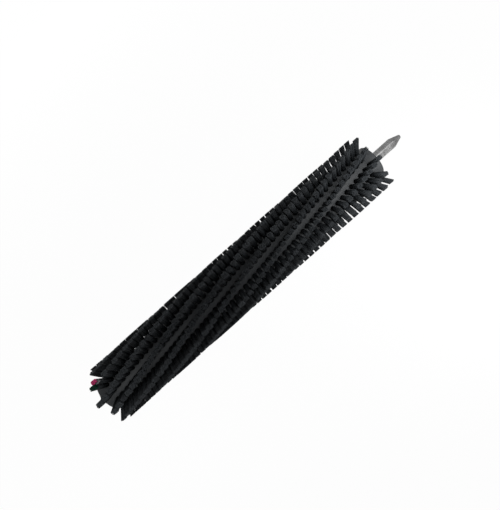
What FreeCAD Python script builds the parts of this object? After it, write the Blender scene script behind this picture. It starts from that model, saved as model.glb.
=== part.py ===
import FreeCAD, Part
import Sketcher
import math
import os

# Roller brush of a robot vacuum cleaner: a moulded core on a square steel shaft, staggered helical rows of
# nylon tufts round the core, and a plain bearing at the idle end. Millimetres and degrees.
# +X runs along the spin axis from the idle end to the drive end and +Z is up. The origin is on the spin
# axis, where it leaves the core's idle end.

SIZES = [
    ("core_length", 174.0, "moulded core, end to end"),
    ("core_diameter", 16.8, "bare skin between the tufts"),
    ("core_end_round", 0.8, "rounding of the core's two outer rims"),
    ("brush_diameter", 30.6, "across the trimmed tips of the tufts"),
    ("row_count", 12, "rows of tufts round the core"),
    ("helix_lead", 333.0, "length in which a row would go once round"),
    ("tuft_pitch", 3.3, "spacing of the tufts along the core, before it is evened out"),
    ("idle_margin", 4.3, "core's idle end to the first tuft"),
    ("drive_margin", 5.4, "last tuft to the core's drive end"),
    ("tuft_root_width", 2.2, "tuft where it leaves the core"),
    ("tuft_tip_length", 2.8, "tuft's trimmed tip along its row"),
    ("tuft_tip_width", 2.2, "tuft's trimmed tip across its row"),
    ("end_lean", 26.0, "outward lean of the outermost tufts"),
    ("lean_reach", 43.0, "length over which the lean dies away"),
    ("marked_lean", 28.0, "outward lean of the two marked tufts"),
    ("square_side", 3.9, "square shaft across its flats"),
    ("square_edge_round", 0.35, "rounding of the shaft's long edges"),
    ("square_clocking", 66.0, "turn of the square about the spin axis"),
    ("square_clearance", 0.02, "gap on each flat between shaft and core"),
    ("drive_projection", 18.2, "shaft past the core's drive end"),
    ("point_length", 5.2, "tapered point of the shaft"),
    ("point_width", 1.4, "flat end of the point"),
    ("journal_diameter", 3.5, "round journal at the shaft's idle end"),
    ("journal_overhang", 0.7, "journal past the retaining ring"),
    ("groove_depth", 0.3, "ring groove in the journal"),
    ("groove_clearance", 0.03, "gap round the ring in its groove"),
    ("ring_width", 1.12, "retaining ring, from its inside to its outside"),
    ("ring_thickness", 0.5, "retaining ring along the axis"),
    ("ring_opening", 1.8, "mouth of the retaining ring"),
    ("ring_room", 0.5, "radial room round the ring in the bush's pocket"),
    ("ring_setback", 1.2, "ring's outer face inside the bush's outer face"),
    ("running_clearance", 0.05, "radial gap between journal and bush"),
    ("axial_play", 0.2, "end float on each side of the bush"),
    ("bush_wall", 0.9, "bush barrel round the ring's pocket"),
    ("bush_projection", 2.4, "bush past the core's idle end"),
    ("bush_edge_chamfer", 0.3, "lead-in on the bush's outer edge"),
    ("flange_width", 1.2, "step from the bush's barrel up to its collar"),
    ("flange_thickness", 1.0, "collar along the axis"),
    ("recess_gap", 0.8, "radial gap between the collar and the core's recess"),
    ("recess_depth", 6.0, "bearing recess in the core's idle end"),
    ("washer_width", 2.65, "thrust washer, from its bore to its outside"),
    ("washer_thickness", 0.5, "thrust washer along the axis"),
    ("washer_bore_gap", 0.1, "radial gap between washer and journal"),
]

# The first two tufts of the first row carry the coloured end marks, and the last row lacks its first tuft
GREEN_TUFT = 0
RED_TUFT = 1
MISSING_TUFT = 0

# Distance under which two places count as the same
TOUCH = 1e-6

doc = FreeCAD.newDocument("roller_brush")
sheet = doc.addObject("Spreadsheet::Sheet", "sizes")
for line, (alias, value, meaning) in enumerate(SIZES, start=1):
    sheet.set(f"A{line}", meaning)
    sheet.set(f"B{line}", str(value))
    sheet.setAlias(f"B{line}", alias)
doc.recompute()

# Places along the spin axis, from the idle end on
BUSH_OUTER_FACE = "-sizes.bush_projection"
RING_OUTER_FACE = f"{BUSH_OUTER_FACE} + sizes.ring_setback"
RING_INNER_FACE = f"{RING_OUTER_FACE} + sizes.ring_thickness"
JOURNAL_END = f"{RING_OUTER_FACE} - sizes.journal_overhang"
POCKET_FLOOR = f"{RING_INNER_FACE} + sizes.axial_play"
IDLE_FACE = "0"
SHOULDER = "sizes.recess_depth"
WASHER_OUTER_FACE = f"{SHOULDER} - sizes.washer_thickness"
BUSH_INNER_FACE = f"{WASHER_OUTER_FACE} - sizes.axial_play"
DRIVE_FACE = "sizes.core_length"
SHAFT_TIP = f"{DRIVE_FACE} + sizes.drive_projection"

# Radii, from the journal out to the core's skin
JOURNAL_RADIUS = "sizes.journal_diameter / 2"
GROOVE_RADIUS = f"{JOURNAL_RADIUS} - sizes.groove_depth"
RING_BORE = f"{GROOVE_RADIUS} + sizes.groove_clearance"
RING_RADIUS = f"{RING_BORE} + sizes.ring_width"
BUSH_BORE = f"{JOURNAL_RADIUS} + sizes.running_clearance"
WASHER_BORE = f"{JOURNAL_RADIUS} + sizes.washer_bore_gap"
WASHER_RADIUS = f"{WASHER_BORE} + sizes.washer_width"
POCKET_RADIUS = f"{RING_RADIUS} + sizes.ring_room"
BUSH_RADIUS = f"{POCKET_RADIUS} + sizes.bush_wall"
COLLAR_RADIUS = f"{BUSH_RADIUS} + sizes.flange_width"
RECESS_RADIUS = f"{COLLAR_RADIUS} + sizes.recess_gap"
CORE_RADIUS = "sizes.core_diameter / 2"

# Roundings, no larger than their walls allow
RIM_ROUND = f"min(sizes.core_end_round; 0.8 * ({CORE_RADIUS} - ({RECESS_RADIUS})))"
EDGE_ROUND = "min(sizes.square_edge_round; 0.4 * sizes.point_width)"

HOLE_SIDE = "sizes.square_side + 2 * sizes.square_clearance"


def size(alias):
    return float(sheet.get(alias))


def worth(expression):
    return float(sheet.evalExpression(expression))


def new_body(label):
    body = doc.addObject("PartDesign::Body", label)
    body.Label = label
    return body


def new_sketch(body, name, role, along="0", turn="0"):
    """A sketch on one of the body's own planes, shifted along its normal and turned about it."""
    plane = next(feature for feature in body.Origin.OriginFeatures if feature.Role == role)
    sketch = body.newObject("Sketcher::SketchObject", name)
    sketch.AttachmentSupport = [(plane, "")]
    sketch.MapMode = "FlatFace"
    sketch.setExpression("AttachmentOffset.Base.z", along)
    sketch.setExpression("AttachmentOffset.Rotation.Angle", turn)
    return sketch


def add_outline(sketch, corners):
    """Closed outline whose corners are pairs of expressions, each measured from the sketch's origin."""
    points = [FreeCAD.Vector(worth(across), worth(up), 0) for across, up in corners]
    count = len(points)
    for i in range(count):
        sketch.addGeometry(Part.LineSegment(points[i], points[(i + 1) % count]), False)
    for i, (across, up) in enumerate(corners):
        sketch.addConstraint(Sketcher.Constraint("Coincident", i, 2, (i + 1) % count, 1))
        for kind, expression in (("DistanceX", across), ("DistanceY", up)):
            index = sketch.addConstraint(Sketcher.Constraint(kind, -1, 1, i, 1, worth(expression)))
            sketch.setExpression(f"Constraints[{index}]", expression)


def add_square(sketch, side):
    half = f"({side}) / 2"
    minus_half = f"-({side}) / 2"
    add_outline(sketch, [(minus_half, minus_half), (half, minus_half), (half, half), (minus_half, half)])


def add_circle(sketch, radius):
    circle = Part.Circle(FreeCAD.Vector(0, 0, 0), FreeCAD.Vector(0, 0, 1), worth(radius))
    index = sketch.addGeometry(circle, False)
    sketch.addConstraint(Sketcher.Constraint("Coincident", index, 3, -1, 1))
    constraint = sketch.addConstraint(Sketcher.Constraint("Radius", index, worth(radius)))
    sketch.setExpression(f"Constraints[{constraint}]", radius)


def revolve(body, name, corners):
    """A turned form: the outline's corners give places along the spin axis and radii."""
    sketch = new_sketch(body, f"{name}_profile", "XY_Plane")
    add_outline(sketch, corners)
    turned = body.newObject("PartDesign::Revolution", name)
    turned.Profile = sketch
    turned.ReferenceAxis = (sketch, ["H_Axis"])
    turned.Angle = 360
    doc.recompute()
    return turned


def extrude(body, name, sketch, length):
    pad = body.newObject("PartDesign::Pad", name)
    pad.Profile = sketch
    pad.setExpression("Length", length)
    doc.recompute()
    return pad


def cut(body, name, sketch, length):
    """A pocket that runs from its sketch towards the drive end."""
    pocket = body.newObject("PartDesign::Pocket", name)
    pocket.Profile = sketch
    pocket.Reversed = True
    pocket.setExpression("Length", length)
    doc.recompute()
    return pocket


def check_cut(before, after, volume):
    removed = before.Shape.Volume - after.Shape.Volume
    if not math.isclose(removed, volume, rel_tol=0.01):
        raise RuntimeError(f"{after.Label} removed {removed:.2f} cubic millimetres, not {volume:.2f}")


def edges_where(feature, wanted):
    """Names of the feature's edges that a test picks out."""
    return [f"Edge{i}" for i, edge in enumerate(feature.Shape.Edges, start=1) if wanted(edge)]


def lies_at(edge, along):
    """True where the edge's ends lie at that place on the spin axis."""
    return all(abs(vertex.X - along) < TOUCH for vertex in edge.Vertexes)


def round_edges(body, name, base, edges, radius):
    fillet = body.newObject("PartDesign::Fillet", name)
    fillet.Base = (base, edges)
    fillet.setExpression("Radius", radius)
    doc.recompute()
    return fillet


def make_core():
    """Moulded barrel with a bearing recess in its idle end and a square hole for the shaft."""
    body = new_body("core")
    barrel = revolve(body, "barrel", [
        (IDLE_FACE, RECESS_RADIUS), (IDLE_FACE, CORE_RADIUS), (DRIVE_FACE, CORE_RADIUS),
        (DRIVE_FACE, "0"), (SHOULDER, "0"), (SHOULDER, RECESS_RADIUS),
    ])
    square = new_sketch(body, "hole_profile", "YZ_Plane", SHOULDER, "sizes.square_clocking")
    add_square(square, HOLE_SIDE)
    hole_length = f"{DRIVE_FACE} - {SHOULDER}"
    hole = cut(body, "shaft_hole", square, hole_length)
    check_cut(barrel, hole, worth(HOLE_SIDE) ** 2 * worth(hole_length))

    def outer_rim(edge):
        at_an_end = lies_at(edge, worth(IDLE_FACE)) or lies_at(edge, worth(DRIVE_FACE))
        return at_an_end and math.isclose(edge.Length, 2 * math.pi * worth(CORE_RADIUS), rel_tol=TOUCH)

    round_edges(body, "rounded_rims", hole, edges_where(hole, outer_rim), RIM_ROUND)
    return body


def make_shaft():
    """Square steel rod with a pointed drive end, turned down to a grooved journal at the idle end."""
    body = new_body("shaft")
    groove_start = f"{RING_OUTER_FACE} - sizes.groove_clearance"
    groove_end = f"{RING_INNER_FACE} + sizes.groove_clearance"
    revolve(body, "journal", [
        (JOURNAL_END, "0"), (JOURNAL_END, JOURNAL_RADIUS),
        (groove_start, JOURNAL_RADIUS), (groove_start, GROOVE_RADIUS),
        (groove_end, GROOVE_RADIUS), (groove_end, JOURNAL_RADIUS),
        (SHOULDER, JOURNAL_RADIUS), (SHOULDER, "0"),
    ])
    square = new_sketch(body, "square_profile", "YZ_Plane", SHOULDER, "sizes.square_clocking")
    add_square(square, "sizes.square_side")
    rod = extrude(body, "square_rod", square, f"{SHAFT_TIP} - {SHOULDER}")

    point = body.newObject("PartDesign::Chamfer", "point")
    point.Base = (rod, edges_where(rod, lambda edge: lies_at(edge, worth(SHAFT_TIP))))
    point.ChamferType = "Two distances"
    point.FlipDirection = True
    point.setExpression("Size", "(sizes.square_side - sizes.point_width) / 2")
    point.setExpression("Size2", "sizes.point_length")
    doc.recompute()

    def runs_along_the_square(edge):
        places = [vertex.X for vertex in edge.Vertexes]
        return min(places) > worth(SHOULDER) - TOUCH and max(places) - min(places) > TOUCH

    round_edges(body, "rounded_edges", point, edges_where(point, runs_along_the_square), EDGE_ROUND)
    return body


def make_bush():
    """Plain bearing that the chassis holds, with a pocket for the retaining ring in its outer face."""
    body = new_body("bearing_bush")
    chamfer_end = f"{BUSH_OUTER_FACE} + sizes.bush_edge_chamfer"
    collar_face = f"{BUSH_INNER_FACE} - sizes.flange_thickness"
    revolve(body, "turned_bush", [
        (BUSH_OUTER_FACE, POCKET_RADIUS), (BUSH_OUTER_FACE, f"{BUSH_RADIUS} - sizes.bush_edge_chamfer"),
        (chamfer_end, BUSH_RADIUS), (collar_face, BUSH_RADIUS),
        (collar_face, COLLAR_RADIUS), (BUSH_INNER_FACE, COLLAR_RADIUS),
        (BUSH_INNER_FACE, BUSH_BORE), (POCKET_FLOOR, BUSH_BORE), (POCKET_FLOOR, POCKET_RADIUS),
    ])
    return body


def make_washer():
    """Thrust washer on the journal, flat on the floor of the core's recess."""
    body = new_body("thrust_washer")
    sketch = new_sketch(body, "washer_profile", "YZ_Plane", WASHER_OUTER_FACE)
    add_circle(sketch, WASHER_RADIUS)
    add_circle(sketch, WASHER_BORE)
    extrude(body, "washer", sketch, "sizes.washer_thickness")
    return body


def make_ring():
    """Open spring ring in the journal's groove, which keeps the bush on."""
    body = new_body("retaining_ring")
    sketch = new_sketch(body, "ring_profile", "YZ_Plane", RING_OUTER_FACE)
    add_circle(sketch, RING_RADIUS)
    add_circle(sketch, RING_BORE)
    ring = extrude(body, "closed_ring", sketch, "sizes.ring_thickness")
    mouth_sketch = new_sketch(body, "mouth_profile", "YZ_Plane", RING_OUTER_FACE)
    left = "-sizes.ring_opening / 2"
    right = "sizes.ring_opening / 2"
    top = f"2 * ({RING_RADIUS})"
    add_outline(mouth_sketch, [(left, "0"), (right, "0"), (right, top), (left, top)])
    mouth = cut(body, "mouth", mouth_sketch, "sizes.ring_thickness")
    if mouth.Shape.Volume >= ring.Shape.Volume:
        raise RuntimeError("the retaining ring has no mouth")
    return body


def tuft(along, turn, lean):
    """One tuft: a flared four-sided bundle on the core's skin, trimmed flat at the brush's diameter."""
    root = size("tuft_root_width") / 2
    reach = size("tuft_tip_length") / 2
    side = size("tuft_tip_width") / 2
    foot = worth(CORE_RADIUS)
    top = math.sqrt((size("brush_diameter") / 2) ** 2 - side**2)
    shift = (top - foot) * math.tan(math.radians(lean))
    bundle = Part.makeWedge(-root, foot, -root, -side, shift - reach, root, top, root, side, shift + reach)
    bundle.rotate(FreeCAD.Vector(0, 0, 0), FreeCAD.Vector(1, 0, 0), turn)
    bundle.translate(FreeCAD.Vector(along, 0, 0))
    return bundle


def lean_share(distance):
    """Share of the full lean that is left at this distance from an end of the rows."""
    return max(0, 1 - distance / size("lean_reach")) ** 2


def tufts_of_row(row):
    """All tufts of a row, from the idle end on. The rows wind left-handed round the core, and every other
    row is set back by half a pitch at both ends, with one tuft fewer."""
    set_back = 1 - row % 2
    first = size("idle_margin")
    span = size("core_length") - first - size("drive_margin")
    steps = max(1, round(span / size("tuft_pitch")))
    bundles = []
    for i in range(steps + 1 - set_back):
        from_first = span * (i + set_back / 2) / steps
        from_middle = first + from_first - size("core_length") / 2
        turn = 360 * row / round(size("row_count")) - 360 * from_middle / size("helix_lead")
        lean = size("end_lean") * (lean_share(span - from_first) - lean_share(from_first))
        if row == 0 and i in (GREEN_TUFT, RED_TUFT):
            lean = -size("marked_lean")
        bundles.append(tuft(first + from_first, turn, lean))
    return bundles


def add_tufts(label, bundles):
    feature = doc.addObject("Part::Feature", label)
    feature.Label = label
    feature.Shape = Part.makeCompound(bundles)
    feature.Placement = FreeCAD.Placement()
    return feature


def make_rows():
    """Every row of tufts; the marked tufts stand in the first row as pieces of their own."""
    rows = []
    count = round(size("row_count"))
    for row in range(count):
        bundles = tufts_of_row(row)
        if row == 0:
            rows.append(add_tufts("green_marked_tuft", [bundles[GREEN_TUFT]]))
            rows.append(add_tufts("red_marked_tuft", [bundles[RED_TUFT]]))
            bundles = bundles[max(GREEN_TUFT, RED_TUFT) + 1:]
        if row == count - 1:
            del bundles[MISSING_TUFT]
        rows.append(add_tufts(f"bristle_row_{row + 1:02d}", bundles))
    return rows


def check_shapes(pieces):
    for thing in doc.Objects:
        if "Invalid" in thing.State or "Error" in thing.State:
            raise RuntimeError(f"{thing.Label} failed to build")
    for piece in pieces:
        if piece.Shape.isNull() or not piece.Shape.isValid():
            raise RuntimeError(f"{piece.Label} has no valid shape")


pieces = [make_core(), make_shaft(), make_bush(), make_washer(), make_ring()] + make_rows()
doc.recompute()
check_shapes(pieces)
os.makedirs("parts", exist_ok=True)
for piece in pieces:
    piece.Shape.exportStep(f"parts/{piece.Label}.step")
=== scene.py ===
# %% [markdown]
# A robot vacuum's roller brush, dressed in Blender.
# The frame brings the brush at its real size: a moulded core on a square steel shaft, twelve rows of tufts
# wound round it, and a small bearing at the idle end. This lesson swaps the plain blocks that stand for the
# tufts for real bundles of nylon, drills the core, gives every surface its finish and lights the whole.

# %% Load the frame
import itertools
import math
import random

import bmesh
import bpy
import numpy as np
from mathutils import Matrix, Vector


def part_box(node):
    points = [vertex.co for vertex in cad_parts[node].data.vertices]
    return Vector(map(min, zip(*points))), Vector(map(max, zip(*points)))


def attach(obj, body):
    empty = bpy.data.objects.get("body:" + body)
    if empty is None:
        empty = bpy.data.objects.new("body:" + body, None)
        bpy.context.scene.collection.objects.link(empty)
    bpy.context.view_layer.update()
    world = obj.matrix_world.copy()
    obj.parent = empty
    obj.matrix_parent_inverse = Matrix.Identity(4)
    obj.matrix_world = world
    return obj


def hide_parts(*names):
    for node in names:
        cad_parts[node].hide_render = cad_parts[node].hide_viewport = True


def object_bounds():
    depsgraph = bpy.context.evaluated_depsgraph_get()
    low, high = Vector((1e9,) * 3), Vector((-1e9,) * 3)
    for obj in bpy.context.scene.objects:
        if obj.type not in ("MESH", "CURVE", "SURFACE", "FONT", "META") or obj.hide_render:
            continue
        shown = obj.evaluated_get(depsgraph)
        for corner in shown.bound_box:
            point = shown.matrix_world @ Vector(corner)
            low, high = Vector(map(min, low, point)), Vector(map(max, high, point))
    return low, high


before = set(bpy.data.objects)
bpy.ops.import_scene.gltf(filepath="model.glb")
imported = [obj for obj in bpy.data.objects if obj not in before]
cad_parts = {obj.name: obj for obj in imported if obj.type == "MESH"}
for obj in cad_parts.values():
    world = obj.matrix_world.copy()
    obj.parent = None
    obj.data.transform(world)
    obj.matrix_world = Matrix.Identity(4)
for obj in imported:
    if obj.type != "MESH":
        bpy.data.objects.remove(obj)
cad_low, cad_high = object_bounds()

print("nodes in the frame:", len(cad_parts))

# %% [markdown]
# Blender works in metres and the brush was drawn in millimetres, so every size below is a number of
# millimetres times MM. What the frame can tell is read from it. The rest repeats the drawing: where the
# tufts stand along the core, how fast a row winds round it and how far the end tufts lean out. Every other
# row is set back by half a pitch, so that its tufts stand beside the gaps of its neighbours. Two tufts of
# the first row have coloured tips, and one socket of the last row has lost its tuft.

# %% Sizes of the brush
MM = 0.001
core_low, core_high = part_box("core")
CORE_LENGTH = core_high.x - core_low.x
CORE_RADIUS = core_high.z
BRUSH_RADIUS = cad_high.z
ROW_COUNT = 12
TUFTS_IN_FULL_ROW = 51
FIRST_TUFT = 4.3 * MM
LAST_TUFT = CORE_LENGTH - 5.4 * MM
TUFT_PITCH = (LAST_TUFT - FIRST_TUFT) / (TUFTS_IN_FULL_ROW - 1)
HELIX_LEAD = 333 * MM
ROW_ANGLE = math.tau / ROW_COUNT
END_LEAN = math.radians(26)
LEAN_REACH = 43 * MM
MARKED_LEAN = math.radians(28)
MARKED = {(0, 0): "green", (0, 1): "red"}
EMPTY_SOCKET = (11, 0)


def set_back(row):
    """1 for a row that starts half a pitch later and ends half a pitch sooner, 0 for a full row."""
    return 1 - row % 2


def turn_at(row, along):
    """Turn of a row about the axis at this place. Rows wind left-handed."""
    return ROW_ANGLE * row - math.tau * (along - CORE_LENGTH / 2) / HELIX_LEAD


def lean_share(distance):
    """Share of the full lean that is left at this distance from an outermost tuft."""
    return max(0, 1 - distance / LEAN_REACH) ** 2


def tuft_place(row, number):
    """Place along the axis, turn about the axis and lean of one tuft, outwards at both ends."""
    along = FIRST_TUFT + TUFT_PITCH * (number + set_back(row) / 2)
    lean = END_LEAN * (lean_share(LAST_TUFT - along) - lean_share(along - FIRST_TUFT))
    if (row, number) in MARKED:
        lean = -MARKED_LEAN
    return along, turn_at(row, along), lean


print(f"core: {CORE_LENGTH / MM:.1f} mm long, {2 * CORE_RADIUS / MM:.1f} mm thick")
print(f"tufts: {TUFT_PITCH / MM:.3f} mm apart")

# %% [markdown]
# The camera comes first, because every later choice is judged through it. It looks down on the brush and
# is rolled, so that the drive end points to the upper right. Its picture plane is parallel to the brush,
# which keeps both ends at one scale, so the aim is moved sideways, along that plane, until the brush lies
# where it belongs in the picture. It stands close, because the tips spread out towards the ends as they do
# under a near lens. The lens is given by its focal length in pixels of the picture's longer side.

# %% Camera
PICTURE_PIXELS = 510
FOCAL_PIXELS = 421.2
SENSOR = 36.0
LOOK_DOWN = math.radians(61.8)
ROLL = math.radians(41.66)
CAMERA_DISTANCE = 208 * MM
AIM_ALONG = 98.0 * MM
AIM_BESIDE = 5.2 * MM

back = Vector((0, -math.cos(LOOK_DOWN), math.sin(LOOK_DOWN)))
level_right = Vector((1, 0, 0))
level_up = back.cross(level_right)
picture_right = level_right * math.cos(ROLL) - level_up * math.sin(ROLL)
picture_up = level_right * math.sin(ROLL) + level_up * math.cos(ROLL)
lens = bpy.data.cameras.new("camera")
lens.sensor_width = SENSOR
lens.lens = SENSOR * FOCAL_PIXELS / PICTURE_PIXELS
lens.clip_start = 1 * MM
camera = bpy.data.objects.new("camera", lens)
turned = Matrix((picture_right, picture_up, back)).transposed().to_4x4()
aim = level_right * AIM_ALONG + level_up * AIM_BESIDE
camera.matrix_world = Matrix.Translation(aim + back * CAMERA_DISTANCE) @ turned
bpy.context.scene.collection.objects.link(camera)
bpy.context.scene.camera = camera
print("camera at", [round(value, 4) for value in camera.location])

# %% [markdown]
# Modelling by operators always works on what is selected, so a few helpers do the picking. Loading the
# frame leaves its nodes selected, and one forgotten selection would drag them along: every piece below
# starts by dropping the selection.

# %% Helpers for modelling
def start_clean():
    """Object mode with nothing selected."""
    if bpy.context.object and bpy.context.object.mode != "OBJECT":
        bpy.ops.object.mode_set(mode="OBJECT")
    bpy.ops.object.select_all(action="DESELECT")


def pick(thing, kind, wanted):
    """In edit mode, selects the verts or edges that a test picks out."""
    bpy.ops.mesh.select_mode(type={"verts": "VERT", "edges": "EDGE"}[kind])
    bpy.ops.mesh.select_all(action="DESELECT")
    cage = bmesh.from_edit_mesh(thing.data)
    for part in getattr(cage, kind):
        part.select = wanted(part)
    cage.select_flush_mode()
    bmesh.update_edit_mesh(thing.data)


def add_copy(mesh, name):
    """A new object at the origin with this mesh."""
    thing = bpy.data.objects.new(name, mesh)
    bpy.context.scene.collection.objects.link(thing)
    return thing


def join(things, name):
    """Joins objects into the first one and names it."""
    start_clean()
    for thing in things:
        thing.select_set(True)
    bpy.context.view_layer.objects.active = things[0]
    bpy.ops.object.join()
    things[0].name = name
    things[0].data.name = name
    return things[0]


def discard(thing):
    """Removes a model that was only copied from."""
    bpy.data.meshes.remove(thing.data)


def coordinates(mesh):
    """The mesh's vertices as rows of x, y, z."""
    found = np.empty(len(mesh.vertices) * 3)
    mesh.vertices.foreach_get("co", found)
    return found.reshape(-1, 3)


print("selected after loading:", len(bpy.context.selected_objects))
start_clean()
print("selected now:", len(bpy.context.selected_objects))

# %% [markdown]
# A filament is a nylon bristle a quarter of a millimetre thick. A hair curve would render, but it has no
# mesh to hand on, so one filament is modelled as a three-sided rod, a unit long, cut once across the
# middle so that it can bow, and narrowed at the tip. Its corners stand out further than a round skin would,
# so that it fills as much room. More than forty thousand copies follow, so it has to stay at eight faces. A
# new filament is nearly straight, and a worn one bows more. Two numbers travel with each point: reach runs
# from 0 at the root to 1 at the tip, and tone tells one filament from the next. The bake map repeats them,
# so that every filament finds its own colour in a small picture however many share it.

# %% One filament
BAKE_MAP = "OFBake"
FILAMENT_SIDES = 3
FILAMENT_WIDTH = 0.38 * MM
NEW_BOW = 0.05 * MM
WORN_BOW = 0.25 * MM
TIP_NARROWING = 0.95
HALFWAY = 0.5
NEAR_HALFWAY = 0.25
CAP_SLOPE = 0.9
TONE_STEP = 0.012
CAP_STEP = 0.02


def is_halfway(height):
    """Whether this height, or each of many, is that of the filament's middle points."""
    return abs(height - HALFWAY) < NEAR_HALFWAY


def model_filament(bow):
    """A filament one unit long up Z that bows towards X."""
    start_clean()
    rod = {"radius": FILAMENT_WIDTH / 2, "depth": 1, "location": (0, 0, HALFWAY)}
    bpy.ops.mesh.primitive_cylinder_add(vertices=FILAMENT_SIDES, calc_uvs=False, **rod)
    bpy.ops.object.transform_apply(location=True, rotation=True, scale=True)
    filament = bpy.context.object
    bpy.ops.object.mode_set(mode="EDIT")
    pick(filament, "edges", lambda edge: edge.calc_length() > HALFWAY)
    bpy.ops.mesh.subdivide(number_cuts=1)
    pick(filament, "verts", lambda vert: is_halfway(vert.co.z))
    bpy.ops.transform.translate(value=(bow, 0, 0))
    pick(filament, "verts", lambda vert: vert.co.z > HALFWAY + NEAR_HALFWAY)
    bpy.ops.transform.resize(value=(TIP_NARROWING, TIP_NARROWING, 1), center_override=(0, 0, 1))
    bpy.ops.object.mode_set(mode="OBJECT")
    bpy.ops.object.shade_smooth()
    number_points(filament.data, bow)
    return filament


def number_points(mesh, bow):
    """Gives a filament its reach and tone, and a bake map that repeats them."""
    places = coordinates(mesh)
    reach = places[:, 2]
    angle = np.arctan2(places[:, 1], places[:, 0] - bow * is_halfway(reach))
    tone = TONE_STEP * np.round((angle + math.pi) / math.tau * FILAMENT_SIDES)
    for name, values in (("reach", reach), ("tone", tone)):
        mesh.attributes.new(name, "FLOAT", "POINT").data.foreach_set("value", values.astype(np.float32))
    layer = mesh.uv_layers.new(name=BAKE_MAP)
    for face in mesh.polygons:
        is_cap = abs(face.normal.z) > CAP_SLOPE
        for corner, loop in enumerate(face.loop_indices):
            vertex = mesh.loops[loop].vertex_index
            inwards = CAP_STEP * (corner == 1) * math.copysign(1, HALFWAY - reach[vertex]) * is_cap
            layer.data[loop].uv = (tone[vertex], reach[vertex] + inwards)


new_filament = model_filament(NEW_BOW)
worn_filament = model_filament(WORN_BOW)
print("filament:", len(new_filament.data.vertices), "points,", len(new_filament.data.polygons), "faces")

# %% [markdown]
# A tuft is about seventy filaments folded over a staple and punched into a hole, then trimmed level with
# all the others. It leaves its round hole tightly packed and opens towards a squarish tip, a little longer
# along the row than across it. Places drawn at random would leave clumps and holes, so they start as a
# plain grid: drawn in to a disc it fills the hole, and drawn in only a little it fills the tip.

# %% Places of the filaments
FILAMENTS_ALONG = 9
FILAMENTS_AROUND = 8
TIP_SQUARENESS = 0.7


def grid_place(number, count):
    """Place from -1 to 1 of one of an even row of filaments."""
    return 2 * number / (count - 1) - 1


def draw_in(x, y, squareness):
    """Moves a place in a square towards its place in the disc inside that square."""
    disc_x = x * math.sqrt(1 - y**2 / 2)
    disc_y = y * math.sqrt(1 - x**2 / 2)
    return disc_x + squareness * (x - disc_x), disc_y + squareness * (y - disc_y)


print("filaments in a tuft:", FILAMENTS_ALONG * FILAMENTS_AROUND)
tip_corner = draw_in(1, 1, TIP_SQUARENESS)
print("corner of the tip, in a square from -1 to 1:", [round(value, 3) for value in tip_corner])

# %% [markdown]
# Each filament of a tuft is a copy of the one above, stretched from its place in the hole to its place in
# the tip. The trimmed length follows the circle that the trimming cutter ran on. Four tufts are made as
# they leave the factory, and four that use has splayed, whose filaments bow outwards. No two are quite
# alike, and the rows are then set with copies of them. New filaments have tones in the lower half of the
# range and worn ones in the upper half, so that the finish can tell them apart.

# %% Tufts to copy from
VARIANTS = 4
SOCKET_DEPTH = 1.0 * MM
ROOT_RADIUS = 1.12 * MM
TIP_HALF_LENGTH = 1.4 * MM
TIP_HALF_WIDTH = 1.12 * MM
TRIM_SPREAD = 0.12 * MM
STRAY = 0.13 * MM
new_kind = {
    "filament": new_filament,
    "opening": 1,
    "bow_spread": math.pi,
    "tones": (0.06, 0.36),
}
worn_kind = {
    "filament": worn_filament,
    "opening": 1.2,
    "bow_spread": math.radians(50),
    "tones": (0.56, 0.86),
}


def stretch(root, tip, spin):
    """Matrix that lays the unit filament from root to tip, turned about itself."""
    run = tip - root
    matrix = Matrix.Rotation(spin, 4, "Z")
    for axis in range(3):
        matrix[axis][2] = run[axis]
        matrix[axis][3] = root[axis]
    return matrix


def shift_tone(mesh, shift):
    """Moves the tone of every point, and its place in the bake map, by the same amount."""
    values = np.empty(len(mesh.vertices), np.float32)
    tone = mesh.attributes["tone"].data
    tone.foreach_get("value", values)
    tone.foreach_set("value", values + np.float32(shift))
    layer = mesh.uv_layers[BAKE_MAP].data
    spots = np.empty(len(layer) * 2, np.float32)
    layer.foreach_get("uv", spots)
    spots[0::2] += np.float32(shift)
    layer.foreach_set("uv", spots)


def model_tuft(variant, filament, opening, bow_spread, tones):
    """A bundle in the tuft's own frame: X along the brush, Z outwards from the spin axis.

    Opening widens the tip, and each filament bows away from the tuft's middle, give or take the bow spread.
    """
    draw = random.Random(variant)
    half_thick = FILAMENT_WIDTH / 2
    half_length = TIP_HALF_LENGTH * opening - half_thick
    half_width = TIP_HALF_WIDTH * opening - half_thick
    filaments = []
    for column, line in itertools.product(range(FILAMENTS_ALONG), range(FILAMENTS_AROUND)):
        x = grid_place(column, FILAMENTS_ALONG)
        y = grid_place(line, FILAMENTS_AROUND)
        root_x, root_y = draw_in(x, y, 0)
        tip_x, tip_y = draw_in(x, y, TIP_SQUARENESS)
        root = Vector((root_x, root_y, 0)) * (ROOT_RADIUS - half_thick)
        root.z = CORE_RADIUS - SOCKET_DEPTH
        tip = Vector((tip_x * half_length, tip_y * half_width, 0))
        tip.x += draw.uniform(-STRAY, STRAY)
        tip.y += draw.uniform(-STRAY, STRAY)
        tip.z = math.sqrt(BRUSH_RADIUS**2 - tip.y**2) - draw.uniform(0, TRIM_SPREAD)
        mesh = filament.data.copy()
        spin = math.atan2(tip.y, tip.x) + draw.uniform(-bow_spread, bow_spread)
        mesh.transform(stretch(root, tip, spin))
        shift_tone(mesh, draw.uniform(*tones))
        filaments.append(add_copy(mesh, "filament"))
    return join(filaments, f"tuft_{variant}")


neat_tufts = [model_tuft(variant, **new_kind) for variant in range(VARIANTS)]
splayed_tufts = [model_tuft(VARIANTS + variant, **worn_kind) for variant in range(VARIANTS)]
print("tuft:", len(neat_tufts[0].data.vertices), "points,", len(neat_tufts[0].data.polygons), "faces")

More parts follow.
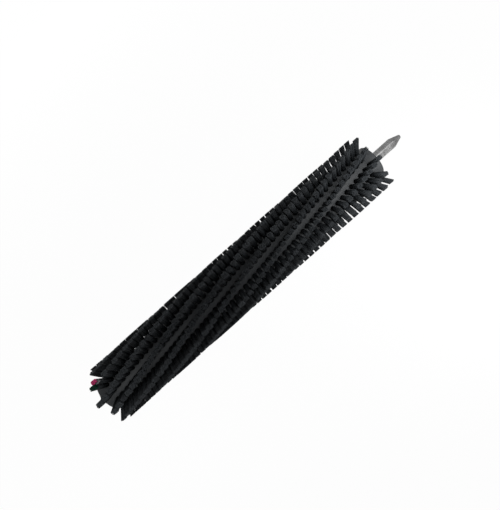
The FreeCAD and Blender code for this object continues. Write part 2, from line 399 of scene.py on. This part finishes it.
# %% [markdown]
# The rows are set next. Each tuft is a copy of one of the eight, sometimes turned half round, leaned a
# degree or two out of line as a machine leaves it, and then placed by the same rule as in the drawing. The
# idle half has worked harder, so most of its tufts are splayed ones, apart from three short runs that have
# kept their shape. The first two tufts of the first row stay apart, because their tips carry colour, and
# the red one has been bent over a little.

# %% Rows of tufts
WORN_TO = 0.3 * CORE_LENGTH
NEAT_FROM = 0.72 * CORE_LENGTH
WORN_SHARE = 0.85
STILL_NEAT = {4: range(2, 5), 5: range(12, 15), 7: range(26, 30)}
LEAN_SPREAD = math.radians(1.2)
SIDE_SPREAD = math.radians(1.0)
TONE_SPREAD = 0.05
RED_BEND = math.radians(-8)
RED_SIDE_BEND = math.radians(-10)
ROW_SEED = 100


def lean_out(lean, side_lean):
    """Shear that leans a tuft along and round the brush and leaves its foot on the core's skin."""
    shear = Matrix.Identity(4)
    for axis, slope in enumerate((math.tan(lean), -math.tan(side_lean))):
        shear[axis][2] = slope
        shear[axis][3] = -slope * CORE_RADIUS
    return shear


def set_tuft(row, number, draw):
    """One tuft in its place on the core, as a mesh."""
    along, turn, lean = tuft_place(row, number)
    share = WORN_SHARE * min(1, (NEAT_FROM - along) / (NEAT_FROM - WORN_TO))
    is_kept = (row, number) in MARKED or number in STILL_NEAT.get(row, ())
    is_splayed = draw.random() < share and not is_kept
    model = draw.choice(splayed_tufts if is_splayed else neat_tufts)
    half_turn = draw.choice((0, math.pi))
    side_lean = draw.uniform(-SIDE_SPREAD, SIDE_SPREAD)
    lean += draw.uniform(-LEAN_SPREAD, LEAN_SPREAD)
    if MARKED.get((row, number)) == "red":
        lean += RED_BEND
        side_lean += RED_SIDE_BEND
    matrix = Matrix.Translation((along, 0, 0)) @ Matrix.Rotation(turn - math.pi / 2, 4, "X")
    matrix = matrix @ lean_out(lean, side_lean) @ Matrix.Rotation(half_turn, 4, "Z")
    mesh = model.data.copy()
    mesh.transform(matrix)
    shift_tone(mesh, draw.uniform(-TONE_SPREAD, TONE_SPREAD))
    return mesh


rows = []
marked_tufts = {}
for row in range(ROW_COUNT):
    draw = random.Random(ROW_SEED + row)
    row_tufts = []
    for number in range(TUFTS_IN_FULL_ROW - set_back(row)):
        if (row, number) == EMPTY_SOCKET:
            continue
        mesh = set_tuft(row, number, draw)
        if (row, number) in MARKED:
            colour = MARKED[row, number]
            marked_tufts[colour] = add_copy(mesh, f"{colour}_tipped_tuft")
        else:
            row_tufts.append(add_copy(mesh, "tuft"))
    rows.append(join(row_tufts, f"nylon_row_{row + 1:02d}"))

for thing in neat_tufts + splayed_tufts + [new_filament, worn_filament]:
    discard(thing)
for row, thing in enumerate(rows):
    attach(thing, "roller")
    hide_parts(f"bristle_row_{row + 1:02d}")
for colour, thing in marked_tufts.items():
    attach(thing, "roller")
    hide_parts(f"{colour}_marked_tuft")
print("rows:", len(rows), "with", sum(len(thing.data.polygons) for thing in rows), "faces")

# %% [markdown]
# The core is one moulding, drilled for every tuft. Cutting six hundred holes with a Boolean modifier would
# be slow and would leave ragged faces. The holes stand in a regular pattern, so one patch of skin is
# modelled flat with one socket in its middle, and copies of it are laid round the core edge to edge. The
# patch is a slanted square, because the rows wind round as they go along. Where the outermost tufts lean
# out, the socket leans with them. A blank patch, half as long, fills up the rows that are set back.

# %% One patch of the core's skin
PATCH_POINTS = 16
PATCH_WIDTH = ROW_ANGLE * CORE_RADIUS
HELIX_SLOPE = math.tau * CORE_RADIUS / HELIX_LEAD
FLOOR_RADIUS = 1.12 * MM
WALL_RADIUS = 1.15 * MM
RIM_RADIUS = 1.28 * MM
RIM_DEPTH = 0.1 * MM
CLEAR_OF_RIM = 1.1


def widen(factor, rise):
    """Extrudes the selected edge loop up and outwards."""
    bpy.ops.mesh.extrude_edges_move()
    bpy.ops.transform.translate(value=(0, 0, rise))
    bpy.ops.transform.resize(value=(factor, factor, 1), center_override=(0, 0, 0))


def patch_side(steps):
    """A point of the patch's outline, from -1 to 1, by its steps round from the middle of a side."""
    quarter = PATCH_POINTS / 4
    from_side = abs((steps + PATCH_POINTS / 2) % PATCH_POINTS - PATCH_POINTS / 2)
    return max(-1, min(1, (quarter - from_side) / (quarter / 2)))


def model_patch():
    """Flat patch: X along the core, Y round it, Z outwards, with its skin at Z = 0."""
    start_clean()
    floor = {"radius": FLOOR_RADIUS, "location": (0, 0, -SOCKET_DEPTH)}
    bpy.ops.mesh.primitive_circle_add(vertices=PATCH_POINTS, fill_type="NGON", calc_uvs=False, **floor)
    bpy.ops.object.transform_apply(location=True, rotation=True, scale=True)
    patch = bpy.context.object
    bpy.ops.object.mode_set(mode="EDIT")
    pick(patch, "edges", lambda edge: True)
    widen(WALL_RADIUS / FLOOR_RADIUS, SOCKET_DEPTH - RIM_DEPTH)
    widen(RIM_RADIUS / WALL_RADIUS, RIM_DEPTH)
    widen(CLEAR_OF_RIM, 0)
    cage = bmesh.from_edit_mesh(patch.data)
    for vert in cage.verts:
        if vert.select:
            step = round(math.atan2(vert.co.y, vert.co.x) / math.tau * PATCH_POINTS)
            along = patch_side(step) * TUFT_PITCH / 2
            around = patch_side(step - PATCH_POINTS / 4) * PATCH_WIDTH / 2
            vert.co = (along, around - HELIX_SLOPE * along, 0)
    bmesh.update_edit_mesh(patch.data)
    bpy.ops.object.mode_set(mode="OBJECT")
    return patch


def model_blank():
    """Flat patch with no socket, half a pitch long, with points where its neighbours have theirs."""
    start_clean()
    side_steps = PATCH_POINTS // 4
    steps = {"x_subdivisions": side_steps // 2, "y_subdivisions": side_steps}
    bpy.ops.mesh.primitive_grid_add(size=1, calc_uvs=False, **steps)
    blank = bpy.context.object
    bpy.ops.object.mode_set(mode="EDIT")
    bpy.ops.transform.resize(value=(TUFT_PITCH / 2, PATCH_WIDTH, 1))
    cage = bmesh.from_edit_mesh(blank.data)
    for vert in cage.verts:
        vert.co.y -= HELIX_SLOPE * vert.co.x
    bmesh.update_edit_mesh(blank.data)
    bpy.ops.object.mode_set(mode="OBJECT")
    return blank


patch = model_patch()
blank = model_blank()
print("patch:", len(patch.data.vertices), "points,", len(patch.data.polygons), "faces")

# %% [markdown]
# Laying a patch means bending it round the core: the way round becomes an angle, and the depth a radius. A
# Simple Deform modifier could bend one large sheet, but the sockets near the ends lean one by one, so each
# copy's points are worked out and written back. The copies are joined and their shared edges merged. Every
# patch brings its own place in the bake map.

# %% Lay the skin
MERGE = 0.002 * MM
SKIN_SHARE = 0.9


def lay_patch(model, row, along, turn, lean):
    """A copy of a patch bent round the core, with its socket leaning as its tuft does."""
    mesh = model.data.copy()
    flat = coordinates(mesh)
    angle = turn + flat[:, 1] / CORE_RADIUS
    radius = CORE_RADIUS + flat[:, 2]
    place = along + flat[:, 0] + math.tan(lean) * flat[:, 2]
    bent = np.stack([place, radius * np.cos(angle), radius * np.sin(angle)], axis=1)
    mesh.vertices.foreach_set("co", bent.ravel())
    spot_along = SKIN_SHARE * (along + flat[:, 0]) / CORE_LENGTH
    spot_round = (row + 0.5 + (flat[:, 1] + HELIX_SLOPE * flat[:, 0]) / PATCH_WIDTH) / ROW_COUNT
    spots = np.stack([spot_along, spot_round], axis=1)
    corners = np.empty(len(mesh.loops), np.int32)
    mesh.loops.foreach_get("vertex_index", corners)
    mesh.uv_layers.new(name=BAKE_MAP).data.foreach_set("uv", spots[corners].ravel().astype(np.float32))
    return add_copy(mesh, "patch")


def lay_row(row):
    """All patches of one row, with a blank at either end of a row that is set back."""
    numbers = range(TUFTS_IN_FULL_ROW - set_back(row))
    laid = [lay_patch(patch, row, *tuft_place(row, number)) for number in numbers]
    if set_back(row):
        for along in (FIRST_TUFT - TUFT_PITCH / 4, LAST_TUFT + TUFT_PITCH / 4):
            laid.append(lay_patch(blank, row, along, turn_at(row, along), 0))
    return laid


core = join([laid for row in range(ROW_COUNT) for laid in lay_row(row)], "drilled_core")
discard(patch)
discard(blank)
bpy.ops.object.mode_set(mode="EDIT")
bpy.ops.mesh.select_all(action="SELECT")
bpy.ops.mesh.remove_doubles(threshold=MERGE)
bpy.ops.object.mode_set(mode="OBJECT")
print("skin:", len(core.data.vertices), "points,", len(core.data.polygons), "faces")

# %% [markdown]
# So far the core is an open tube. Its two ends are extruded by hand: along the bare end rings, round the
# rims, and at the idle end into the bearing recess. The square hole for the shaft joins the two ends from
# inside, so that the core is one closed shell.

# %% Close the ends
END_ROUND = 0.8 * MM
ROUND_STEPS = 4
RECESS_RADIUS = 6.0 * MM
RECESS_DEPTH = 6.0 * MM
SHAFT_SIDE = 3.9 * MM
HOLE_CLEARANCE = 0.04 * MM
HOLE_SIDE = SHAFT_SIDE + HOLE_CLEARANCE
HOLE_CLOCKING = math.radians(66)
INNER_RADIUS = 3.2 * MM
SHARP_ANGLE = math.radians(35)
SKIN_START = FIRST_TUFT - TUFT_PITCH / 2
SKIN_END = LAST_TUFT + TUFT_PITCH / 2


def extrude_loop(along, radius, new_along, new_radius):
    """Extrudes the selected loop to another place along the axis and another radius."""
    bpy.ops.mesh.extrude_edges_move()
    bpy.ops.transform.translate(value=(new_along - along, 0, 0))
    ratio = new_radius / radius
    bpy.ops.transform.resize(value=(1, ratio, ratio), center_override=(new_along, 0, 0))
    return new_along, new_radius


def square_up(thing):
    """Moves the selected loop's points onto the outline of the shaft's square hole."""
    cage = bmesh.from_edit_mesh(thing.data)
    loop = [vert for vert in cage.verts if vert.select]
    loop.sort(key=lambda vert: (math.atan2(vert.co.z, vert.co.y) - HOLE_CLOCKING) % math.tau)
    for step, vert in enumerate(loop):
        angle = math.tau * step / len(loop)
        reach = HOLE_SIDE / 2 / max(abs(math.cos(angle)), abs(math.sin(angle)))
        turned = angle + HOLE_CLOCKING
        vert.co = (vert.co.x, reach * math.cos(turned), reach * math.sin(turned))
    bmesh.update_edit_mesh(thing.data)


def close_end(thing, start, end, inwards, recess):
    """From the skin's open edge to the square hole; inwards is the way from the end into the core."""
    pick(thing, "edges", lambda edge: edge.is_boundary and abs(edge.verts[0].co.x - start) < MERGE)
    place = extrude_loop(start, CORE_RADIUS, end + inwards * END_ROUND, CORE_RADIUS)
    for step in range(1, ROUND_STEPS + 1):
        turn = math.pi / 2 * step / ROUND_STEPS
        along = end + inwards * END_ROUND * (1 - math.sin(turn))
        place = extrude_loop(*place, along, CORE_RADIUS - END_ROUND * (1 - math.cos(turn)))
    if recess:
        place = extrude_loop(*place, end, RECESS_RADIUS)
        place = extrude_loop(*place, end + inwards * RECESS_DEPTH, RECESS_RADIUS)
    place = extrude_loop(*place, place[0], INNER_RADIUS)
    extrude_loop(*place, *place)
    square_up(thing)


bpy.ops.object.mode_set(mode="EDIT")
close_end(core, SKIN_START, 0, 1, True)
close_end(core, SKIN_END, CORE_LENGTH, -1, False)
pick(core, "edges", lambda edge: edge.is_boundary)
bpy.ops.mesh.bridge_edge_loops()
bpy.ops.mesh.select_all(action="SELECT")
bpy.ops.mesh.normals_make_consistent(inside=False)
bpy.ops.object.mode_set(mode="OBJECT")
bpy.ops.object.shade_smooth_by_angle(angle=SHARP_ANGLE)
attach(core, "roller")
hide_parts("core")
print("core:", len(core.data.vertices), "points,", len(core.data.polygons), "faces")

# %% [markdown]
# The patches brought their own place in the core's bake map. The extruded faces have none yet: each end
# gets a band of the map beside the skin, and so do the recess and the square hole. In a band, the way in
# from the skin runs across and the way round runs up.

# %% Bake map of the core's ends
BAND_START = {"idle": 0.91, "recess": 0.935, "hole": 0.96, "drive": 0.975}
BAND_WIDTH = 0.02
BAND_FOOT = 0.01
BAND_HEIGHT = 0.98
BAND_REACH = 12 * MM


def band_of(middle):
    """Name of the band for a face with this middle, or None for a face of the skin."""
    radius = middle.yz.length
    if radius < INNER_RADIUS and RECESS_DEPTH + MERGE < middle.x < CORE_LENGTH - MERGE:
        return "hole"
    if middle.x > SKIN_END:
        return "drive"
    if radius < RECESS_RADIUS and middle.x < RECESS_DEPTH + MERGE:
        return "recess"
    return "idle" if middle.x < SKIN_START else None


def way_in(band, place):
    """Share of the band's width at this place."""
    radius = place.yz.length
    ways = {
        "idle": (SKIN_START - place.x + CORE_RADIUS - radius) / BAND_REACH,
        "recess": (place.x + RECESS_RADIUS - radius) / BAND_REACH,
        "hole": place.x / CORE_LENGTH,
        "drive": (place.x - SKIN_END + CORE_RADIUS - radius) / BAND_REACH,
    }
    return ways[band]


def spread_ends(mesh):
    """Gives every face outside the skin its place in a band."""
    layer = mesh.uv_layers[BAKE_MAP].data
    spread = 0
    for face in mesh.polygons:
        band = band_of(face.center)
        if band is None:
            continue
        middle_turn = math.atan2(face.center.z, face.center.y) % math.tau
        for loop in face.loop_indices:
            place = mesh.vertices[mesh.loops[loop].vertex_index].co
            swing = math.atan2(place.z, place.y) - middle_turn
            turn = middle_turn + (swing + math.pi) % math.tau - math.pi
            across = BAND_START[band] + BAND_WIDTH * way_in(band, place)
            layer[loop].uv = (across, BAND_FOOT + BAND_HEIGHT * turn / math.tau)
        spread += 1
    return spread


print("faces in the end bands:", spread_ends(core.data))

# %% [markdown]
# Finishes are made of nodes. Writing them as sums and products is easier to read than wiring them by hand,
# so one small class stands for a socket: arithmetic on it adds Math nodes, and its node method adds any
# other kind.

# %% Wires
class Wire:
    """A socket of a material's nodes that can be added, multiplied and fed to other nodes."""

    def __init__(self, tree, socket=None):
        self.tree = tree
        self.socket = socket

    def node(self, kind, settings=None, inputs=None, output=0):
        """Adds a node: its settings first, then the values or wires of its sockets."""
        made = self.tree.nodes.new(kind)
        for name, value in (settings or {}).items():
            if name == "stops":
                self.set_stops(made.color_ramp, value)
            else:
                setattr(made, name, value)
        for name, value in (inputs or {}).items():
            if isinstance(value, Wire):
                self.tree.links.new(value.socket, made.inputs[name])
            else:
                made.inputs[name].default_value = value
        return Wire(self.tree, made.outputs[output])

    def set_stops(self, ramp, stops):
        """Places and grey levels of a ramp's stops."""
        while len(ramp.elements) < len(stops):
            ramp.elements.new(0.5)
        for element, (position, level) in zip(ramp.elements, stops):
            element.position = position
            element.color = (level, level, level, 1)

    def math(self, operation, *values):
        """Adds a Math node with these values or wires."""
        return self.node("ShaderNodeMath", {"operation": operation}, dict(enumerate(values)))

    def __add__(self, other):
        return self.math("ADD", self, other)

    def __sub__(self, other):
        return self.math("SUBTRACT", self, other)

    def __rsub__(self, other):
        return self.math("SUBTRACT", other, self)

    def __mul__(self, other):
        return self.math("MULTIPLY", self, other)

    __radd__ = __add__
    __rmul__ = __mul__


print("wires can be added, subtracted and multiplied")

# %% [markdown]
# A finish is a material with one Principled shader. A second class keeps the two together and offers the
# few kinds of node that the finishes below need: noise, numbers that the mesh carries, ramps, mixes and
# bumps. A Mix node has a set of sockets for each kind of value, so those for colours go by number.

# %% Finishes
MIX_FIRST = 6
MIX_SECOND = 7
MIX_RESULT = 2


class Finish:
    """A material with one shader, built up by wires."""

    def __init__(self, name):
        self.material = bpy.data.materials.new(name)
        self.material.use_nodes = True
        self.tree = self.material.node_tree
        self.shader = self.tree.nodes["Principled BSDF"]
        self.wire = Wire(self.tree)
        self.places = self.wire.node("ShaderNodeTexCoord", output="Object")

    def noise(self, scale, detail=3.0, stretch=(1, 1, 1), roughness=0.5):
        """Cloudy noise, scale features to the metre, drawn out along the axes by stretch."""
        mapped = self.wire.node("ShaderNodeMapping", inputs={"Vector": self.places, "Scale": stretch})
        inputs = {"Vector": mapped, "Scale": scale, "Detail": detail, "Roughness": roughness}
        return self.wire.node("ShaderNodeTexNoise", inputs=inputs)

    def attribute(self, name):
        """A number that the mesh carries on its points."""
        return self.wire.node("ShaderNodeAttribute", {"attribute_name": name}, output="Fac")

    def ramp(self, value, stops):
        """Grey ramp through the given stops."""
        return self.wire.node("ShaderNodeValToRGB", {"stops": stops}, {"Fac": value})

    def mix(self, share, first, second):
        """Colour between two colours."""
        inputs = {"Factor": share, MIX_FIRST: first, MIX_SECOND: second}
        return self.wire.node("ShaderNodeMix", {"data_type": "RGBA"}, inputs, output=MIX_RESULT)

    def bump(self, height, strength, distance):
        """Normal with this height on it."""
        inputs = {"Height": height, "Strength": strength, "Distance": distance}
        return self.wire.node("ShaderNodeBump", inputs=inputs)

    def feed(self, **sockets):
        """Sets or links the shader's sockets; underscores in a name stand for spaces."""
        for name, value in sockets.items():
            socket = self.shader.inputs[name.replace("_", " ")]
            if isinstance(value, Wire):
                self.tree.links.new(value.socket, socket)
            else:
                socket.default_value = value
        return self.material


def grey(level, warmth=0.0):
    """A near-grey colour, a little warm or cool."""
    return (level * (1 + warmth), level, level * (1 - warmth), 1)


def dress(thing, material):
    """Puts a material in every slot of an object."""
    if not thing.material_slots:
        thing.data.materials.append(material)
    for slot in thing.material_slots:
        slot.material = material
    print(f"{thing.name}: {material.name}, {len(material.node_tree.nodes)} nodes")


print("a cool grey:", grey(0.5, -0.1))

# %% [markdown]
# The core is charcoal plastic straight from the mould: a faint grain, paler flow marks that run along it,
# and a satin shine that the grain breaks up. A painted picture could show seams between the patches, so the
# pattern is noise in the core's own coordinates.

# %% Core plastic
CORE_DARK = grey(0.029, -0.06)
CORE_LIGHT = grey(0.043, -0.06)


def core_plastic():
    finish = Finish("core_plastic")
    flow = finish.ramp(finish.noise(420, stretch=(0.12, 1, 1)), [(0.35, 0), (0.7, 1)])
    cloud = finish.noise(60)
    grain = finish.noise(5200, detail=2)
    share = 0.6 * flow + 0.4 * cloud
    colour = finish.mix(share, CORE_DARK, CORE_LIGHT)
    roughness = 0.42 + 0.12 * flow + 0.08 * grain
    normal = finish.bump(grain, 0.25, 0.03 * MM)
    return finish.feed(Base_Color=colour, Roughness=roughness, Normal=normal, Specular_IOR_Level=0.12)


dress(core, core_plastic())

# %% [markdown]
# The nylon is black through and through. From filament to filament the black differs a little. Worn
# filaments are darker, partly from dirt and partly as painted shade, because most worn tufts stand in the
# idle half and the middle, away from the main lamp. Their tips are paler, partly frayed and partly a
# painted highlight where light catches the trimmed ends. The colour depends only on reach and tone, so it
# bakes into the small picture that all filaments share. The two marked tufts wear the same black as new
# ones, and only their outer ends are coloured.

# %% Nylon
NEW_DARK = grey(0.012, -0.1)
NEW_LIGHT = grey(0.029, -0.1)
# Worn nylon is darker: partly dirt, partly painted shade for the weaker light on the idle half and the
# middle.
WORN_DARK_DIRT_AND_SHADE = grey(0.007, -0.1)
WORN_LIGHT_DIRT_AND_SHADE = grey(0.019, -0.1)
# Paler tips: partly fraying, partly a painted highlight on the trimmed ends.
FRAYED_AND_LIT_TIP = grey(0.055, -0.09)
FADED_DYE = grey(0.3)
PALE_RING = [(-0.16, 0), (-0.11, 1), (-0.07, 1), (-0.02, 0)]
DYE_BLEED = 0.04
NYLON_SHINE = 0.06


def filament_streak(finish, tone):
    """Light and dark filaments, alike for new and for worn ones."""
    within_half = tone.math("FRACT", 2 * tone)
    return finish.ramp(within_half, [(0.1, 0.2), (0.35, 0.8), (0.5, 0.1), (0.65, 1.0), (0.9, 0.3)])


def black_nylon():
    finish = Finish("black_nylon")
    tone = finish.attribute("tone")
    reach = finish.attribute("reach")
    streak = filament_streak(finish, tone)
    # Worn filaments get the darker body, partly dirt and partly painted shade.
    worn = finish.ramp(tone, [(0.46, 0), (0.5, 1)])
    # Paler tips, mostly on worn filaments: partly fraying, partly a painted highlight on the lit ends.
    frayed_and_lit = finish.ramp(reach, [(0.9, 0), (1.0, 1)]) * (0.15 + 0.85 * worn)
    new_body = finish.mix(streak, NEW_DARK, NEW_LIGHT)
    worn_body_dirt_and_shade = finish.mix(streak, WORN_DARK_DIRT_AND_SHADE, WORN_LIGHT_DIRT_AND_SHADE)
    body = finish.mix(worn, new_body, worn_body_dirt_and_shade)
    colour = finish.mix(frayed_and_lit * (0.4 + 0.6 * streak), body, FRAYED_AND_LIT_TIP)
    roughness = 0.36 + 0.1 * streak + 0.14 * frayed_and_lit
    return finish.feed(Base_Color=colour, Roughness=roughness, Specular_IOR_Level=NYLON_SHINE)


def marked_nylon(name, colour, deep_colour, edge, pale):
    """Black nylon whose outer end is dyed from edge on, with a pale ring where the dye ran out."""
    finish = Finish(name)
    tone = finish.attribute("tone")
    reach = finish.attribute("reach")
    streak = filament_streak(finish, tone)
    place = reach + DYE_BLEED * streak
    dyed = finish.ramp(place, [(edge, 0), (edge + DYE_BLEED, 1)])
    ring = finish.ramp(place, [(edge + offset, level) for offset, level in PALE_RING])
    black = finish.mix(streak, NEW_DARK, NEW_LIGHT)
    faded = finish.mix(ring * pale, black, FADED_DYE)
    dye = finish.mix(streak, deep_colour, colour)
    base = finish.mix(dyed, faded, dye)
    roughness = 0.36 + 0.12 * streak
    return finish.feed(Base_Color=base, Roughness=roughness, Specular_IOR_Level=NYLON_SHINE)


nylon = black_nylon()
for thing in rows:
    dress(thing, nylon)
green_dye = {"colour": (0.0, 0.018, 0.01, 1), "deep_colour": (0.0, 0.01, 0.005, 1), "edge": 0.78, "pale": 0}
red_dye = {"colour": (0.55, 0.05, 0.17, 1), "deep_colour": (0.38, 0.03, 0.11, 1), "edge": 0.95, "pale": 0.6}
dress(marked_tufts["green"], marked_nylon("green_nylon", **green_dye))
dress(marked_tufts["red"], marked_nylon("red_nylon", **red_dye))

# %% [markdown]
# The shaft is drawn steel with a dull grey coat. Drawing leaves fine lines along it. Handling has stained
# it in patches and left small dark specks and nicks. Its four long edges are painted bright, partly where
# the coat has rubbed off and partly as a painted highlight along each edge. The edges are where the
# distances to the two middle planes of the square add up to the most, so the bright stripe follows from
# turned coordinates.

# %% Steel
COAT_DARK = grey(0.065)
COAT_LIGHT = grey(0.19)
SPECK = grey(0.03)
# Bare steel at the nicks, and on the long edges partly a painted highlight.
BARE_STEEL_AND_HIGHLIGHT = grey(0.25)
RING_DARK = grey(0.22)
RING_LIGHT = grey(0.4)


def rubbed_edge_and_highlight(finish):
    """1 on the shaft's four long edges, 0 in the middle of its faces."""
    turn = {"Vector": finish.places, "Rotation": (-HOLE_CLOCKING, 0, 0)}
    turned = finish.wire.node("ShaderNodeMapping", inputs=turn)
    split = {"Vector": turned}
    across = [finish.wire.node("ShaderNodeSeparateXYZ", inputs=split, output=axis) for axis in "YZ"]
    from_middle = across[0].math("ABSOLUTE", across[0]) + across[1].math("ABSOLUTE", across[1])
    return finish.ramp(from_middle * (1 / SHAFT_SIDE), [(0.62, 0), (1.0, 1)])


def shaft_steel():
    finish = Finish("shaft_steel")
    lines = finish.noise(2600, detail=4, stretch=(0.04, 1, 1))
    stain = finish.ramp(finish.noise(300, detail=5, roughness=0.6), [(0.36, 0), (0.64, 1)])
    specks = finish.ramp(finish.noise(1100, detail=4, roughness=0.6), [(0.52, 0), (0.62, 1)])
    nicks = finish.ramp(finish.noise(1100, detail=5, roughness=0.65), [(0.62, 0), (0.72, 1)])
    # Bright long edges: partly coat rubbed off, partly a painted highlight along each edge.
    worn = rubbed_edge_and_highlight(finish) * (0.35 + 0.65 * stain)
    dull = finish.mix(0.35 * lines + 0.65 * stain, COAT_DARK, COAT_LIGHT)
    specked = finish.mix(0.8 * specks, dull, SPECK)
    bright = 0.5 * nicks.math("MAXIMUM", nicks, worn)
    colour = finish.mix(bright, specked, BARE_STEEL_AND_HIGHLIGHT)
    roughness = 0.5 + 0.15 * stain - 0.15 * bright
    normal = finish.bump(lines + nicks - specks, 0.25, 0.03 * MM)
    return finish.feed(Base_Color=colour, Roughness=roughness, Metallic=0.55, Normal=normal)


def ring_steel():
    finish = Finish("ring_steel")
    lines = finish.noise(3000, detail=3, stretch=(1, 0.2, 0.2))
    colour = finish.mix(lines, RING_DARK, RING_LIGHT)
    return finish.feed(Base_Color=colour, Roughness=0.3 + 0.2 * lines, Metallic=1.0)


dress(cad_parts["shaft"], shaft_steel())
dress(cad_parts["retaining_ring"], ring_steel())

# %% [markdown]
# The bush and the thrust washer are pale bearing plastic, slightly waxy. Turning marks run round the bush,
# and grey wear from the journal gathers on both. One function serves the two, because they differ only in
# colour and in the way that their marks run.

# %% Bearing plastics
BUSH_PALE = (0.6, 0.58, 0.52, 1)
BUSH_WORN = grey(0.3)
WASHER_PALE = (0.62, 0.61, 0.57, 1)
WASHER_WORN = grey(0.34)


def bearing_plastic(name, pale, worn, lines_stretch):
    finish = Finish(name)
    wear = finish.ramp(finish.noise(420, detail=4), [(0.42, 0), (0.75, 1)])
    lines = finish.noise(3200, detail=2, stretch=lines_stretch)
    colour = finish.mix(0.7 * wear, pale, worn)
    roughness = 0.32 + 0.2 * wear + 0.06 * lines
    normal = finish.bump(lines, 0.15, 0.02 * MM)
    return finish.feed(Base_Color=colour, Roughness=roughness, Normal=normal)


bush_finish = bearing_plastic("bush_plastic", BUSH_PALE, BUSH_WORN, lines_stretch=(1, 0.1, 0.1))
dress(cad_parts["bearing_bush"], bush_finish)
washer_finish = bearing_plastic("washer_plastic", WASHER_PALE, WASHER_WORN, lines_stretch=(0.3, 1, 1))
dress(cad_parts["thrust_washer"], washer_finish)

# %% [markdown]
# The brush lies on a white table in white surroundings. Lamps strong enough to make them white would
# bleach the brush, so both are shown as plain white to the camera and in reflections, and light the brush
# only a little. Near the brush the table keeps a faint shadow, and further away it fades into the white, so
# that no horizon shows.

# %% Table and surroundings
WHITE = grey(1.0)
TABLE_COLOUR = grey(0.9)
TABLE_SIDE = 6000 * MM
TABLE_SHADOW_SHARE = 0.025
SHADOW_REACH = 350 * MM
SURROUND_LEVEL = 0.04
MIDDLE = Vector((CORE_LENGTH / 2, 0, 0))


def seen_directly(wire):
    """1 for the rays that show a surface to the camera, in a mirror or through glass."""
    kind = "ShaderNodeLightPath"
    camera_ray = wire.node(kind, output="Is Camera Ray")
    glossy_ray = wire.node(kind, output="Is Glossy Ray")
    through_ray = wire.node(kind, output="Is Transmission Ray")
    return camera_ray.math("MINIMUM", camera_ray + glossy_ray + through_ray, 1.0)


def table_finish():
    finish = Finish("white_table")
    finish.feed(Base_Color=TABLE_COLOUR, Roughness=0.9)
    length = {"operation": "LENGTH"}
    away = finish.wire.node("ShaderNodeVectorMath", length, {0: finish.places}, output="Value")
    shadow = finish.ramp(away * (1 / SHADOW_REACH), [(0.3, TABLE_SHADOW_SHARE), (1.0, 0)])
    shown = seen_directly(finish.wire) * (1 - shadow)
    glow = finish.wire.node("ShaderNodeEmission", inputs={"Color": WHITE, "Strength": 1.0})
    plain = Wire(finish.tree, finish.shader.outputs[0])
    mixed = finish.wire.node("ShaderNodeMixShader", inputs={0: shown, 1: plain, 2: glow})
    finish.tree.links.new(mixed.socket, finish.tree.nodes["Material Output"].inputs["Surface"])
    return finish.material


start_clean()
bpy.ops.mesh.primitive_plane_add(size=TABLE_SIDE, location=(MIDDLE.x, 0, cad_low.z))
table = bpy.context.object
table.name = "table"
dress(table, table_finish())

world = bpy.data.worlds.new("surroundings")
world.use_nodes = True
bpy.context.scene.world = world
surround = Wire(world.node_tree)
level = SURROUND_LEVEL + (1 - SURROUND_LEVEL) * seen_directly(surround)
background = world.node_tree.nodes["Background"]
background.inputs["Color"].default_value = WHITE
world.node_tree.links.new(level.socket, background.inputs["Strength"])
print("table:", [round(value, 2) for value in table.dimensions.xy], "m; surroundings:", world.name)

# %% [markdown]
# The light is soft and near. The main lamp hangs in front of the drive end, so close that its light falls
# off along the brush. A weak one does the same at the idle end, and a long low one lights the back. Area
# lamps were chosen because their size sets how soft the shadows between the tufts are.

# %% Lamps
DRIVE_END = Vector((CORE_LENGTH, 0, 0))
IDLE_END = Vector((0, 0, 0))


def add_lamp(name, place, aim, width, height, power):
    """A soft rectangular lamp. Its place, width and height are in millimetres and its power in watts."""
    lamp = bpy.data.lights.new(name, "AREA")
    lamp.shape = "RECTANGLE"
    lamp.size = width * MM
    lamp.size_y = height * MM
    lamp.energy = power
    thing = bpy.data.objects.new(name, lamp)
    thing.location = Vector(place) * MM
    thing.rotation_mode = "QUATERNION"
    thing.rotation_quaternion = (aim - thing.location).to_track_quat("-Z", "Y")
    thing.visible_camera = False
    bpy.context.scene.collection.objects.link(thing)


add_lamp("drive_side", (190, -66, 60), DRIVE_END, width=70, height=120, power=0.23)
add_lamp("idle_side", (-10, -40, 60), IDLE_END, width=60, height=60, power=0.03)
add_lamp("back", (90, 350, 30), MIDDLE, width=400, height=60, power=0.7)
bpy.context.scene.view_settings.view_transform = "Standard"
print("lamps:", len(bpy.data.lights))
